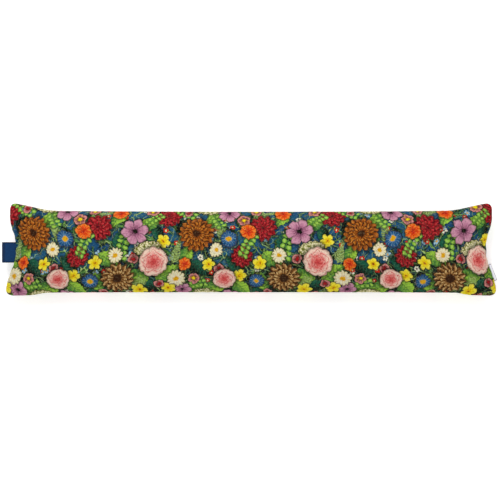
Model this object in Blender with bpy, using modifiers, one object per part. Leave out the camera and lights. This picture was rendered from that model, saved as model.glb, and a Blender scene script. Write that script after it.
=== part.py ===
"""A draught excluder: a long filled cushion, with a webbing tab in its left end seam and a
care label in its right end seam.

It lies on its back. +X runs to its right end, +Y to the upper edge of the face that shows,
and +Z up. The origin is the middle of the flat underside. All sizes are in metres.
"""

import math

import bmesh
import bpy
import numpy as np

# The outline, seen from above. An ear is a corner that flares out past the drawn-in edges.
WAIST_HALF_LENGTH = 0.4355  # middle to the end seam, where the end is drawn in most
UPPER_EAR_REACH = 0.0111  # how far an upper ear stands out past the waist, along X
LOWER_EAR_REACH = 0.0190
UPPER_REACH_START = 0.015  # Y at which the end seam starts to swing out to the upper ear
UPPER_REACH_WIDTH = 0.048  # width over which it swings out
LOWER_REACH_WIDTH = 0.074
MIDDLE_HALF_WIDTH = 0.0725
UPPER_SPREAD = 0.0046  # slow widening from the middle to an end, at the upper edge
LOWER_SPREAD = 0.0030
UPPER_EAR_RISE = 0.0130  # how far an upper ear stands up past the edge, along Y
LOWER_EAR_RISE = 0.0056
EAR_LENGTH = 0.085  # length along X over which an ear fades into the edge
CORNER_RADIUS = 0.012

# The filled section.
SEAM_HEIGHT = 0.034  # the rim seam above the floor
CROWN_HEIGHT = 0.038  # each panel's crown above or below that seam, before it meets the floor
END_LENGTH = 0.085  # length along X over which an end closes from the full crown
END_ROUNDNESS = 0.70  # power of the end's closing curve: 0.5 is a half circle, 1 a parabola
SIDE_ROUNDNESS = 0.50  # the same across the width, in the middle
EAR_FLATNESS = 0.35  # added to that power at the ends, where the ears are flat
EAR_LIFT = 0.003  # the upper ears tip up a little from the seam's height
CLOTH_THICKNESS = 0.0012  # half of what the two panels and their turnings measure at the rim
RIM_WIDTH = 0.004  # distance from the rim at which that thickness is reached

# Soft puckers that run in from the end seams. Columns: waves across the width, height, phase.
PUCKERS = (
    (3, 0.0012, 0.6),
    (5, 0.0008, 2.1),
)
PUCKER_PEAK = 0.014  # distance from the end seam at which they stand highest
PUCKER_FADE = 0.055  # length over which they die out from there

# How finely the cushion is divided.
ROWS = 64  # along the length
COLUMNS = 24  # across the width
ROW_CROWDING = 1.6  # 1 spaces the rows evenly, more crowds them towards the ends

# The pieces caught in the end seams.
PIECE_GAP = 0.0003
LAYER_GAP = 0.0004  # between the two layers of a folded strip, at its root
TAB_WIDTH = 0.038
TAB_MIDDLE_Y = -0.0007
TAB_TIP_X = -0.4614
TAB_THICKNESS = 0.0013
TAB_FOLD_RADIUS = 0.0042  # to the middle of the webbing
LABEL_UPPER_Y = -0.0232
LABEL_LOWER_Y = -0.0547
LABEL_THICKNESS = 0.0010
LABEL_STAND_OUT = 0.0090
LABEL_UPPER_DROOP = math.radians(63)  # the tape hangs, and twists a little along its width
LABEL_LOWER_DROOP = math.radians(56)


def smooth(share):
    """0 up to 0 and 1 from 1 on, with level ends: three squares less two cubes."""
    share = min(max(share, 0.0), 1.0)
    return share * share * (3 - 2 * share)


def ear_share(end_distance):
    """1 at the end seam, falling along a cosine to 0 at the ear's length."""
    return 0.5 * (1 + math.cos(math.pi * min(end_distance / EAR_LENGTH, 1.0)))


def half_width(end_distance, upper):
    """Distance from the middle line to the upper or the lower edge."""
    spread = UPPER_SPREAD if upper else LOWER_SPREAD
    rise = UPPER_EAR_RISE if upper else LOWER_EAR_RISE
    towards_end = (1 - end_distance / WAIST_HALF_LENGTH) ** 2
    return MIDDLE_HALF_WIDTH + spread * towards_end + rise * ear_share(end_distance)


def half_length(y):
    """Distance from the middle to the end seam at this Y: least at the waist."""
    if y > 0:
        swing = (y - UPPER_REACH_START) / UPPER_REACH_WIDTH
        return WAIST_HALF_LENGTH + UPPER_EAR_REACH * smooth(swing)
    return WAIST_HALF_LENGTH + LOWER_EAR_REACH * smooth(-y / LOWER_REACH_WIDTH)


def round_corner(end_distance, edge_distance):
    """The square corner's cells moved onto a quarter disc, by the elliptical rule."""
    a = max(0.0, 1 - end_distance / CORNER_RADIUS)
    b = max(0.0, 1 - edge_distance / CORNER_RADIUS)
    round_a = a * math.sqrt(1 - b * b / 2)
    round_b = b * math.sqrt(1 - a * a / 2)
    return (a - round_a) * CORNER_RADIUS, (b - round_b) * CORNER_RADIUS


def outline_point(along, across):
    """X and Y of a point of the flat cushion. Both arguments run from -1 to 1."""
    end_distance = (1 - abs(along)) * WAIST_HALF_LENGTH
    width = half_width(end_distance, across > 0)
    y = across * width
    x = along * half_length(y)
    pull_x, pull_y = round_corner(end_distance, (1 - abs(across)) * width)
    return x - math.copysign(pull_x, x), y - math.copysign(pull_y, y)


def pucker_height(along, across, end_distance):
    """Waves across the width that rise from the end seam and die out inwards."""
    rise = smooth(end_distance / PUCKER_PEAK)
    fall = 1 - smooth((end_distance - PUCKER_PEAK) / PUCKER_FADE)
    side_shift = 1.3 if along > 0 else 0.0
    waves = sum(
        height * math.cos(math.pi * count * across + phase + side_shift)
        for count, height, phase in PUCKERS
    )
    return waves * rise * fall * (1 - across * across)


def panel_point(along, across, face):
    """A point of the front panel (face 1) or of the back panel (face -1)."""
    end_distance = (1 - abs(along)) * WAIST_HALF_LENGTH
    edge_distance = (1 - abs(across)) * half_width(end_distance, across > 0)
    ear = ear_share(end_distance)
    closing = 1 - (1 - min(end_distance / END_LENGTH, 1.0)) ** 2
    section = 1 - across * across
    crown = closing**END_ROUNDNESS * section ** (SIDE_ROUNDNESS + EAR_FLATNESS * ear)
    rim_share = min(min(end_distance, edge_distance) / RIM_WIDTH, 1.0)
    rise = CROWN_HEIGHT * crown + CLOTH_THICKNESS * math.sqrt(max(rim_share, 0.0))
    rise += pucker_height(along, across, end_distance)
    seam = SEAM_HEIGHT + EAR_LIFT * ear * max(across, 0.0) ** 3
    x, y = outline_point(along, across)
    return x, y, max(seam + face * rise, 0.0)


def row_place(step):
    """A row's place along the length, from its even place: both run from -1 to 1."""
    return math.copysign(1 - (1 - abs(step)) ** ROW_CROWDING, step)


def column_place(step):
    """A column's place across the width: even steps round the section's oval."""
    return math.sin(step * math.pi / 2)


def make_material(name, colour, roughness):
    material = bpy.data.materials.new(name)
    material.use_nodes = True
    shader = material.node_tree.nodes["Principled BSDF"]
    shader.inputs["Base Color"].default_value = (*colour, 1.0)
    shader.inputs["Roughness"].default_value = roughness
    shader.inputs["Metallic"].default_value = 0.0
    return material


def add_object(name, mesh_tool, collection, material):
    """Puts a finished bmesh into a new object, shaded smooth, in the collection."""
    mesh = bpy.data.meshes.new(name)
    mesh_tool.to_mesh(mesh)
    mesh_tool.free()
    mesh.materials.append(material)
    mesh.shade_smooth()
    mesh.set_sharp_from_angle(angle=math.radians(40))
    made = bpy.data.objects.new(name, mesh)
    collection.objects.link(made)
    return made


def make_cushion(collection):
    """Two grids, one for each panel, shaped by the rule above and sewn at the rim."""
    mesh_tool = bmesh.new()
    for face in (1, -1):
        grid = bmesh.ops.create_grid(mesh_tool, x_segments=ROWS, y_segments=COLUMNS, size=1.0)
        for vertex in grid["verts"]:
            along = row_place(vertex.co.x)
            across = column_place(vertex.co.y)
            vertex.co = panel_point(along, across, face)
    bmesh.ops.remove_doubles(mesh_tool, verts=mesh_tool.verts, dist=1e-6)
    bmesh.ops.recalc_face_normals(mesh_tool, faces=mesh_tool.faces)
    material = make_material("printed_cotton", (0.235, 0.178, 0.089), 0.75)
    return add_object("cover_cushion", mesh_tool, collection, material)


def seam_places(side, count=200):
    """X and Y along one end seam, as the cushion's own straight facets run."""
    steps = np.linspace(-1, 1, COLUMNS + 1)
    corners = np.array([outline_point(side, column_place(step)) for step in steps])
    y = np.linspace(corners[1, 1], corners[-2, 1], count)
    return np.interp(y, corners[:, 1], corners[:, 0]), y


def seam_x(side, y):
    """X of the end seam at this Y, on the cushion's own facets."""
    places_x, places_y = seam_places(side)
    return float(np.interp(y, places_y, places_x))


def folded_path(reach, fold_radius, root_half_gap, side_steps, fold_steps):
    """The middle line of a strip folded in two: out along one layer, round the fold, back.

    Each point is its distance out from the root and its height. The layers start a small gap
    apart, spread on a smooth step to the fold's radius, and the fold is a half circle.
    """
    straight = reach - fold_radius
    steps = np.linspace(0, 1, side_steps, endpoint=False)
    spread = [root_half_gap + (fold_radius - root_half_gap) * smooth(step) for step in steps]
    upper = np.column_stack([steps * straight, spread])
    angles = np.linspace(math.pi / 2, -math.pi / 2, fold_steps + 1)
    fold = np.column_stack(
        [straight + fold_radius * np.cos(angles), fold_radius * np.sin(angles)]
    )
    lower = upper[::-1] * (1, -1)
    return np.vstack([upper, fold, lower])


def make_strip(name, path_rule, root_rule, rows, thickness, collection, material):
    """A folded strip: a grid whose columns follow the folded path, thickened on both sides.

    path_rule(share) gives the folded path at a place across the strip's width, and
    root_rule(share) the root's point, the way out from it and the strip's upward side.
    """
    paths = [path_rule(row / rows) for row in range(rows + 1)]
    columns = len(paths[0]) - 1
    mesh_tool = bmesh.new()
    grid = bmesh.ops.create_grid(mesh_tool, x_segments=rows, y_segments=columns, size=0.5)
    for vertex in grid["verts"]:
        row = round((vertex.co.x + 0.5) * rows)
        column = round((vertex.co.y + 0.5) * columns)
        root, outward, upward = root_rule(row / rows)
        out, height = paths[row][column]
        vertex.co = root + outward * out + upward * height
    bmesh.ops.recalc_face_normals(mesh_tool, faces=mesh_tool.faces)
    made = add_object(name, mesh_tool, collection, material)
    solidify = made.modifiers.new("Thickness", "SOLIDIFY")
    solidify.thickness = thickness
    solidify.offset = 0.0
    solidify.use_even_offset = True
    return made


def make_tab(collection):
    """Navy webbing, folded in two and cut square, standing straight out of the left end."""
    lower_y = TAB_MIDDLE_Y - TAB_WIDTH / 2

    def root_rule(share):
        y = lower_y + share * TAB_WIDTH
        root = np.array([seam_x(-1, y) - PIECE_GAP, y, SEAM_HEIGHT])
        return root, np.array([-1.0, 0.0, 0.0]), np.array([0.0, 0.0, 1.0])

    def path_rule(share):
        root, _, _ = root_rule(share)
        reach = root[0] - TAB_TIP_X - TAB_THICKNESS / 2
        half_gap = (TAB_THICKNESS + LAYER_GAP) / 2
        return folded_path(reach, TAB_FOLD_RADIUS, half_gap, 10, 12)

    material = make_material("navy_webbing", (0.007, 0.044, 0.122), 0.6)
    make_strip("hang_tab", path_rule, root_rule, 6, TAB_THICKNESS, collection, material)


def make_label(collection):
    """White tape, folded in two, square to the slanting seam and hanging down from it."""
    ends_x = [seam_x(1, y) for y in (LABEL_UPPER_Y, LABEL_LOWER_Y)]
    along_seam = np.array([ends_x[1] - ends_x[0], LABEL_LOWER_Y - LABEL_UPPER_Y])
    along_seam = along_seam / np.linalg.norm(along_seam)
    level_out = np.array([-along_seam[1], along_seam[0], 0.0])
    up = np.array([0.0, 0.0, 1.0])
    half_gap = (LABEL_THICKNESS + LAYER_GAP) / 2

    def root_rule(share):
        y = LABEL_UPPER_Y + share * (LABEL_LOWER_Y - LABEL_UPPER_Y)
        droop = LABEL_UPPER_DROOP + share * (LABEL_LOWER_DROOP - LABEL_UPPER_DROOP)
        clearance = PIECE_GAP + (half_gap + LABEL_THICKNESS / 2) * math.sin(droop)
        seam = np.array([seam_x(1, y), y, SEAM_HEIGHT])
        outward = level_out * math.cos(droop) - up * math.sin(droop)
        upward = level_out * math.sin(droop) + up * math.cos(droop)
        return seam + level_out * clearance, outward, upward

    def path_rule(share):
        reach = LABEL_STAND_OUT - LABEL_THICKNESS / 2
        return folded_path(reach, half_gap, half_gap, 5, 8)

    material = make_material("white_tape", (0.80, 0.80, 0.84), 0.5)
    make_strip("care_label", path_rule, root_rule, 8, LABEL_THICKNESS, collection, material)


def main():
    for old in list(bpy.data.objects):
        bpy.data.objects.remove(old, do_unlink=True)
    collection = bpy.data.collections.new("draught_excluder")
    bpy.context.scene.collection.children.link(collection)
    make_cushion(collection)
    make_tab(collection)
    make_label(collection)


main()
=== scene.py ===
# %% [markdown]
# # A draught excluder in a flowered cotton cover
# A draught excluder is a long thin cushion that lies along the foot of a door. Two equal
# panels of printed cotton are sewn right round their rim, turned and filled. A tab of navy
# webbing is caught in the left end seam, and a small blank tape label in the right one.
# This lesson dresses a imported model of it: every piece is worked out with numpy, and every
# finish is a tree of shader nodes.

import math

import bmesh
import bpy
import numpy as np
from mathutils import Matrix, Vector


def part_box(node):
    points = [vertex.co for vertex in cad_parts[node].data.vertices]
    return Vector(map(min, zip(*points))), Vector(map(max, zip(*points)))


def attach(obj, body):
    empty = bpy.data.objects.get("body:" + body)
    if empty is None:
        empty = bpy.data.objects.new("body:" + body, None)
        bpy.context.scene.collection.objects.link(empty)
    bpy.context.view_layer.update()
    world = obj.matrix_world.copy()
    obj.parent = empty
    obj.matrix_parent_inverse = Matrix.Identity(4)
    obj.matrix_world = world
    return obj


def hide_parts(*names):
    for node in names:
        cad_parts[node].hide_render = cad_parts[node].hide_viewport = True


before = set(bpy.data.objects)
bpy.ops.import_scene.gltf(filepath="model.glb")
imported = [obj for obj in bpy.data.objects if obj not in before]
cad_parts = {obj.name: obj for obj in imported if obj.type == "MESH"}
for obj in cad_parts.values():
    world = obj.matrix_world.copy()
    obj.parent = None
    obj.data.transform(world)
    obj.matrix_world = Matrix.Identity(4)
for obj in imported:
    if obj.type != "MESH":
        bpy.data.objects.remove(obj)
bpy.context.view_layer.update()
cushion_low, cushion_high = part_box("cover_cushion")
tab_low, tab_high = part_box("hang_tab")
label_low, label_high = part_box("care_label")
print("nodes", sorted(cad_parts))
print("cushion", [round(v * 1000, 1) for v in cushion_high - cushion_low], "mm")

# %% [markdown]
# ## One way to make every mesh
# A surface here is a grid of points, worked out as whole arrays. One helper turns the points
# and the faces into a mesh object at the origin, so that a pattern on object coordinates
# stays where it is. Another joins the corners of a grid into four-sided faces.

# %% Meshes from arrays
MM = 0.001


def smooth(share):
    """0 up to 0 and 1 from 1 on, with level ends: three squares less two cubes."""
    share = np.clip(share, 0.0, 1.0)
    return share * share * (3 - 2 * share)


def grid_faces(numbers):
    """Four-sided faces between neighbours of a grid of point numbers."""
    corners = (numbers[:-1, :-1], numbers[1:, :-1], numbers[1:, 1:], numbers[:-1, 1:])
    return np.stack(corners, axis=-1).reshape(-1, 4)


def mesh_object(name, points, faces):
    """A mesh object at the origin, shaded smooth."""
    mesh = bpy.data.meshes.new(name)
    mesh.from_pydata(np.asarray(points).tolist(), [], [list(map(int, f)) for f in faces])
    mesh.validate()
    mesh.shade_smooth()
    made = bpy.data.objects.new(name, mesh)
    bpy.context.scene.collection.objects.link(made)
    return made


def add_uv(mesh, name, corner_places):
    """A UV map from one place for each face corner."""
    layer = mesh.uv_layers.new(name=name)
    layer.data.foreach_set("uv", np.asarray(corner_places, np.float32).ravel())


# %% [markdown]
# ## The cushion from above
# Seen from above the cushion is a long strip whose ends are drawn in between four flared
# corners, the ears. The two flat panels have more cloth than the filled shape can use near
# the ends, so the middle of each end seam is pulled towards the filling and the corners are
# left standing out. The strip could be modelled by hand from a stretched cube. Here one
# function of two parameters gives it: along runs from the left end seam to the right one,
# across from the lower long seam to the upper one.

# %% The rim seen from above
HALF_LENGTH = cushion_high.x
LOWER_EAR_REACH = 19.0 * MM
UPPER_EAR_REACH = 11.1 * MM
WAIST_EASE = 0.2 * MM
WAIST = HALF_LENGTH - LOWER_EAR_REACH + WAIST_EASE
UPPER_REACH_START = 15 * MM
UPPER_REACH_WIDTH = 48 * MM
LOWER_REACH_WIDTH = 74 * MM
MIDDLE_HALF_WIDTH = 72.5 * MM
UPPER_SPREAD = 4.6 * MM
LOWER_SPREAD = 3.0 * MM
UPPER_EAR_RISE = 13.4 * MM
LOWER_EAR_RISE = 5.6 * MM
UPPER_EAR_LENGTH = 85 * MM
LOWER_EAR_LENGTH = 73 * MM
LOWER_EAR_FULLNESS = 3
CORNER_RADIUS = 12 * MM


def ear_share(end_distance, length, fullness=1):
    """1 at the end seam, falling along a cosine to 0 at the ear's length.

    The cosine is read at the share of that length to the power of the fullness, and a full
    ear keeps its width for longer.
    """
    return 0.5 * (1 + np.cos(np.pi * np.minimum(end_distance / length, 1) ** fullness))


def outline(along, across):
    """X and Y on the flat rim: width grows to the ears, length is least at the waist.

    A square corner's cells are moved onto a quarter disc by the elliptical rule.
    """
    end_distance = (1 - np.abs(along)) * WAIST
    spread = (1 - end_distance / WAIST) ** 2
    upper_ear = ear_share(end_distance, UPPER_EAR_LENGTH) * UPPER_EAR_RISE
    lower_ear = ear_share(end_distance, LOWER_EAR_LENGTH, LOWER_EAR_FULLNESS) * LOWER_EAR_RISE
    upper_widening = upper_ear + spread * UPPER_SPREAD
    lower_widening = lower_ear + spread * LOWER_SPREAD
    width = MIDDLE_HALF_WIDTH + np.where(across > 0, upper_widening, lower_widening)
    y = across * width
    upper_reach = UPPER_EAR_REACH * smooth((y - UPPER_REACH_START) / UPPER_REACH_WIDTH)
    lower_reach = LOWER_EAR_REACH * smooth(-y / LOWER_REACH_WIDTH)
    x = along * (WAIST + np.where(y > 0, upper_reach, lower_reach))
    a = np.maximum(0, 1 - end_distance / CORNER_RADIUS)
    b = np.maximum(0, 1 - (1 - np.abs(across)) * width / CORNER_RADIUS)
    x = x - np.sign(x) * a * (1 - np.sqrt(1 - b * b / 2)) * CORNER_RADIUS
    y = y - np.sign(y) * b * (1 - np.sqrt(1 - a * a / 2)) * CORNER_RADIUS
    return x, y


print("waist at", round(WAIST / MM, 1), "mm, ears at", round(HALF_LENGTH / MM, 1), "mm from the middle")

# %% [markdown]
# ## The cushion from the end
# Cut through, a filled cushion is a pointed oval: each panel rises from its seam, crosses the
# middle and comes down to the other seam. Towards the ends there is less filling, so the oval
# closes, and out in the ears it is nearly flat. The back panel is the front panel's mirror
# image below the seam.

# %% The section
SEAM_HEIGHT = 34 * MM
CROWN_HEIGHT = 38 * MM
END_LENGTH = 85 * MM
END_ROUNDNESS = 0.70
SIDE_ROUNDNESS = 0.50
EAR_FLATNESS = 0.35
EAR_LIFT = 3 * MM


def panel(along, across, face):
    """A panel's points, face 1 for the front and -1 for the back.

    The height over the seam is one less across squared, to a power that grows in the ears,
    times a closing curve: one less the square of what is left of the way to the end's length.
    """
    end_distance = (1 - np.abs(along)) * WAIST
    ear = ear_share(end_distance, UPPER_EAR_LENGTH)
    closing = 1 - (1 - np.minimum(end_distance / END_LENGTH, 1)) ** 2
    section = np.maximum(1 - across**2, 0)
    crown = closing**END_ROUNDNESS * section ** (SIDE_ROUNDNESS + EAR_FLATNESS * ear)
    seam = SEAM_HEIGHT + EAR_LIFT * ear * np.maximum(across, 0) ** 3
    x, y = outline(along, across)
    return np.stack([x, y, seam + face * CROWN_HEIGHT * crown], axis=-1)


print("crown", round((SEAM_HEIGHT + CROWN_HEIGHT) / MM, 1), "mm high")

# %% [markdown]
# ## Cutting and sewing the cover
# The cloth itself is flat, so each point of the grid also has a place on the flat panel, in
# metres. Those places are the rest shape of the simulation, and later they carry the print,
# as the real print was made before the cloth was cut. The two panels share the points of the
# rim, as sewing makes them do.

# %% The grid of a panel
ROWS = 240
COLUMNS = 48
END_CROWDING = 0.75
CROWDED_FROM = 0.8

row_spot = np.abs(np.linspace(-1, 1, ROWS))
row_step = 1 - END_CROWDING * smooth((row_spot - CROWDED_FROM) / (1 - CROWDED_FROM))
row_place = np.insert(np.cumsum(row_step), 0, 0)
along, turn = np.meshgrid(
    2 * row_place / row_place[-1] - 1, np.linspace(-1, 1, COLUMNS + 1), indexing="ij"
)
across = np.sin(turn * np.pi / 2)
end_room = (1 - np.abs(along)) * WAIST
print("rows", round(row_step.min() / row_step.max(), 2), "times as far apart at the ends")

# %% The flat cloth
PANEL_HALF_LENGTH = 457 * MM
PANEL_HALF_WIDTH = 88.5 * MM


def spread_cloth(points, axis, half):
    """The length run along each grid line, from -half at its start to half at its end."""
    steps = np.linalg.norm(np.diff(points, axis=axis), axis=-1)
    run = np.cumsum(np.insert(steps, 0, 0, axis=axis), axis=axis)
    return (2 * run / np.take(run, [-1], axis) - 1) * half


smooth_front = panel(along, across, 1)
flat_x = spread_cloth(smooth_front, 0, PANEL_HALF_LENGTH)
flat_y = spread_cloth(smooth_front, 1, PANEL_HALF_WIDTH)
from_long_seam = PANEL_HALF_WIDTH - np.abs(flat_y)
from_end_seam = PANEL_HALF_LENGTH - np.abs(flat_x)
print("panels cut", 2 * PANEL_HALF_LENGTH, "by", 2 * PANEL_HALF_WIDTH, "m")

# %% Sewing the rim
rim = np.zeros(along.shape, bool)
rim[[0, -1], :] = True
rim[:, [0, -1]] = True
front_numbers = np.arange(along.size).reshape(along.shape)
back_numbers = front_numbers.copy()
back_numbers[~rim] = along.size + np.arange((~rim).sum())
front_faces = grid_faces(front_numbers)
back_faces = grid_faces(back_numbers)[:, ::-1]
cover_faces = np.vstack([front_faces, back_faces])


def sewn(front, back):
    """One list of values for the cover: all of the front, then the back without its rim."""
    return np.concatenate([front.reshape(along.size, -1), back[~rim].reshape((~rim).sum(), -1)])


def unsewn(points):
    """The front and the back grid again, from the cover's one list of points."""
    front = points[: along.size].reshape(*along.shape, 3)
    back = points[back_numbers.ravel()].reshape(*along.shape, 3)
    return front, back


print("cover", len(cover_faces), "faces,", rim.sum(), "points on the seam")

# %% [markdown]
# ## Filling it unevenly
# Wadding never fills a cover evenly: it bunches. The front and the back start from the smooth
# shape with a slightly uneven surface. The sum of a few cosine waves, of random lengths from a
# fixed seed, is enough for that, and gives the same cushion each time.

# %% Uneven filling
FILLING_SEED = 5
FILLING_WAVES = 60


def uneven(seed, waves, longest, shortest):
    """A field of seeded cosine waves over the cloth, of lengths between two limits."""
    rng = np.random.default_rng(seed)
    field = np.zeros(along.shape)
    for _ in range(waves):
        lengths = rng.uniform(shortest, longest, 2)
        phases = rng.uniform(0, 2 * np.pi, 2)
        field += np.cos(2 * np.pi * flat_x / lengths[0] + phases[0]) * np.cos(
            2 * np.pi * flat_y / lengths[1] + phases[1]
        )
    return field / field.std()


START_UNEVENNESS = 0.4 * MM
start_field = uneven(FILLING_SEED, FILLING_WAVES, longest=115 * MM, shortest=30 * MM)
start_field = start_field * START_UNEVENNESS
start_field[rim] = 0
front_start = panel(along, across, 1)
back_start = panel(along, across, -1)
front_start[..., 2] += start_field
back_start[..., 2] += start_field
start_points = sewn(front_start, back_start)
print("start uneven by up to", round(np.abs(start_field).max() / MM, 2), "mm")

# %% [markdown]
# ## Creasing it
# The creases of a filled cover come from cloth that is larger than the room it has. They could
# be sculpted, but a cloth simulation finds them in their natural places. The panels' flat cut
# is its rest shape, a little enlarged, and a pressure inside presses the cloth out until its
# spare length lies in creases and dimples. The rim is pinned, so the outline stays.

# %% Cloth simulation
CLOTH_EASE = 1.03
SIMULATED_FRAMES = 20
PRESSURE = 3.0


def press_outwards(points, rest, faces, pinned):
    """The points after a short cloth simulation with pressure inside and no gravity."""
    piece = mesh_object("cover_while_filling", points, faces)
    piece.shape_key_add(name="Basis")
    flat_key = piece.shape_key_add(name="flat")
    flat_key.data.foreach_set("co", rest.ravel())
    pins = piece.vertex_groups.new(name="rim")
    pins.add(pinned.tolist(), 1.0, "REPLACE")
    cloth = piece.modifiers.new("Cloth", "CLOTH")
    settings = cloth.settings
    settings.quality = 5
    settings.mass = 0.3
    settings.tension_stiffness = settings.compression_stiffness = 15
    settings.shear_stiffness = 5
    settings.bending_stiffness = 0.03
    settings.air_damping = 1
    settings.use_pressure = True
    settings.uniform_pressure_force = PRESSURE
    settings.rest_shape_key = flat_key
    settings.vertex_group_mass = pins.name
    settings.effector_weights.gravity = 0
    cloth.collision_settings.use_collision = False
    cloth.point_cache.frame_start = 1
    cloth.point_cache.frame_end = SIMULATED_FRAMES
    for number in range(1, SIMULATED_FRAMES + 1):
        bpy.context.scene.frame_set(number)
    filled = piece.evaluated_get(bpy.context.evaluated_depsgraph_get()).data
    result = np.empty(len(filled.vertices) * 3)
    filled.vertices.foreach_get("co", result)
    mesh = piece.data
    bpy.data.objects.remove(piece)
    bpy.data.meshes.remove(mesh)
    bpy.context.scene.frame_set(1)
    return result.reshape(-1, 3)


flat_points = np.stack(
    [flat_x * CLOTH_EASE, flat_y * CLOTH_EASE, np.full_like(flat_x, SEAM_HEIGHT)], axis=-1
)
filled_points = press_outwards(
    start_points, sewn(flat_points, flat_points), cover_faces, front_numbers[rim]
)
moved = filled_points - start_points
print("simulation moved the cloth up to", round(np.linalg.norm(moved, axis=1).max() / MM, 1), "mm")

# %% [markdown]
# ## Keeping the creases, not the swelling
# Pressure also swells the whole cushion, and the frame already has its real depth. The
# movement is therefore split in two: a blurred part, the swelling, which is dropped, and what
# is left, the creases, which are kept and capped.

# %% Creases
BLUR_PASSES = 60
CREASE_CAP = 3.2 * MM


def blurred(field):
    """Each pass puts a quarter of both neighbours and half of the point itself together."""
    for _ in range(BLUR_PASSES):
        for axis in (0, 1):
            count = field.shape[axis]
            wide = np.concatenate(
                [np.take(field, [0], axis), field, np.take(field, [-1], axis)], axis
            )
            before = np.take(wide, range(count), axis)
            after = np.take(wide, range(2, count + 2), axis)
            field = 0.25 * before + 0.5 * field + 0.25 * after
    return field


def creases(movement):
    """The movement less its blur, with its length pressed under the cap."""
    fine = movement - blurred(movement)
    size = np.linalg.norm(fine, axis=-1, keepdims=True)
    return fine * (CREASE_CAP * np.tanh(size / CREASE_CAP) / np.maximum(size, 1e-9))


front_creases, back_creases = (creases(side) for side in unsewn(moved))
crease_sizes = np.linalg.norm(front_creases, axis=-1) / MM
print("creases", round(crease_sizes.mean(), 2), "mm on average")
print("the deepest", round(crease_sizes.max(), 2), "mm")

# %% [markdown]
# ## Gathers and pleats
# A seam takes up a little cloth with each stitch, so both panels ripple beside it. Where the
# ends are drawn in, longer pleats run away from the seam and spread as they go. Both are
# waves along the seam that fade with the distance from it, and their strength drifts, because
# no seam is sewn evenly.

# %% Gathers along the seams
GATHER_PITCH = 12 * MM
GATHER_HEIGHT = 0.45 * MM
END_GATHER_HEIGHT = 0.8 * MM
GATHER_PLACE = 3.9 * MM
GATHER_DRIFT = 0.9
GATHER_STRENGTH = 0.7
GATHER_CHANGE = 0.5
GATHER_LIMITS = (0.1, 1.6)


def away_from(distance, place):
    """0 at a seam, 1 at a place beside it, and falling away from there: d e to the 1 - d."""
    share = distance / place
    return share * np.exp(1 - share)


def gathers(seed):
    """Ripples square to each seam, of uneven height, which die out a little way in from it."""
    drift = uneven(seed, 12, longest=260 * MM, shortest=70 * MM) * GATHER_DRIFT
    change = uneven(seed + 1, 12, longest=180 * MM, shortest=60 * MM)
    strength = np.clip(GATHER_STRENGTH + GATHER_CHANGE * change, *GATHER_LIMITS)
    long_wave = np.sin(2 * np.pi * flat_x / GATHER_PITCH + drift)
    end_wave = np.sin(2 * np.pi * flat_y / GATHER_PITCH + drift)
    long_part = long_wave * away_from(from_long_seam, GATHER_PLACE) * GATHER_HEIGHT
    end_part = end_wave * away_from(from_end_seam, GATHER_PLACE) * END_GATHER_HEIGHT
    return (long_part + end_part) * strength


print("gathers every", round(GATHER_PITCH / MM), "mm")

# %% Pleats in from the ends
PLEAT_PITCH = 21 * MM
PLEAT_HEIGHT = 2.0 * MM
PLEAT_PLACE = 13.3 * MM
PLEAT_SPREAD = 160 * MM
PLEAT_DRIFT = 0.7
WAIST_WIDTH = 62 * MM


def pleats(seed):
    """Folds in from the end seams, strongest at the waist, whose pitch grows on the way in."""
    spread = 1 + from_end_seam / PLEAT_SPREAD
    drift = uneven(seed + 2, 10, longest=200 * MM, shortest=60 * MM) * PLEAT_DRIFT
    wave = np.cos(2 * np.pi * flat_y / (PLEAT_PITCH * spread) + drift)
    waist = np.exp(-((flat_y / WAIST_WIDTH) ** 2))
    return wave * waist * away_from(from_end_seam, PLEAT_PLACE) * PLEAT_HEIGHT


print("pleats every", round(PLEAT_PITCH / MM), "mm at the end seams")

# %% [markdown]
# ## Putting the panels together
# The full roll of cloth on each side of the seam makes the seam itself look sunk. That roll,
# broad lumps of filling, the gathers and the pleats all stand square to the surface, along
# its normals. The underside is flat where the cushion lies on the floor.

# %% Lumps, roll and the finished panels
LUMP_HEIGHT = 1.3 * MM
LUMP_LIMIT = 2.4
LUMP_SETTLING = 0.9
LUMP_SEED = 11
ROLL_HEIGHT = 1.1 * MM
ROLL_PLACE = 4.5 * MM
RIM_TUCK = 0.3 * MM


def outward_normals(points, face):
    """The cross product of the grid's two directions, of unit length."""
    normals = np.cross(np.gradient(points, axis=0), np.gradient(points, axis=1)) * face
    return normals / np.maximum(np.linalg.norm(normals, axis=-1, keepdims=True), 1e-12)


def lumps(seed):
    """Broad waves, limited by a tanh and lowered a little, that fade out at every seam."""
    room = np.maximum(1 - across**2, 0) * smooth(end_room / END_LENGTH)
    waves = uneven(seed, FILLING_WAVES, longest=170 * MM, shortest=48 * MM)
    return (LUMP_LIMIT * np.tanh(waves / LUMP_LIMIT) - LUMP_SETTLING) * LUMP_HEIGHT * room


def finished_panel(face, panel_creases, seed):
    """The smooth panel with its creases, its relief, its tucked rim and its flat underside."""
    points = panel(along, across, face)
    normals = outward_normals(points, face)
    roll = away_from(np.minimum(from_long_seam, from_end_seam), ROLL_PLACE) * ROLL_HEIGHT
    relief = lumps(seed) + gathers(seed) + pleats(seed) + roll
    inwards = np.stack([-along, -across, np.zeros_like(along)], axis=-1)
    points = points + panel_creases + normals * relief[..., None]
    points = points + inwards * rim[..., None] * RIM_TUCK
    points[..., 2] = np.maximum(points[..., 2], 0.0)
    return points


front = finished_panel(1, front_creases, LUMP_SEED)
back = finished_panel(-1, back_creases, LUMP_SEED + 1)
cover = mesh_object("flowered_cover", sewn(front, back), cover_faces)
print("cover height", round(front[..., 2].max() / MM, 1), "mm")

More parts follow.
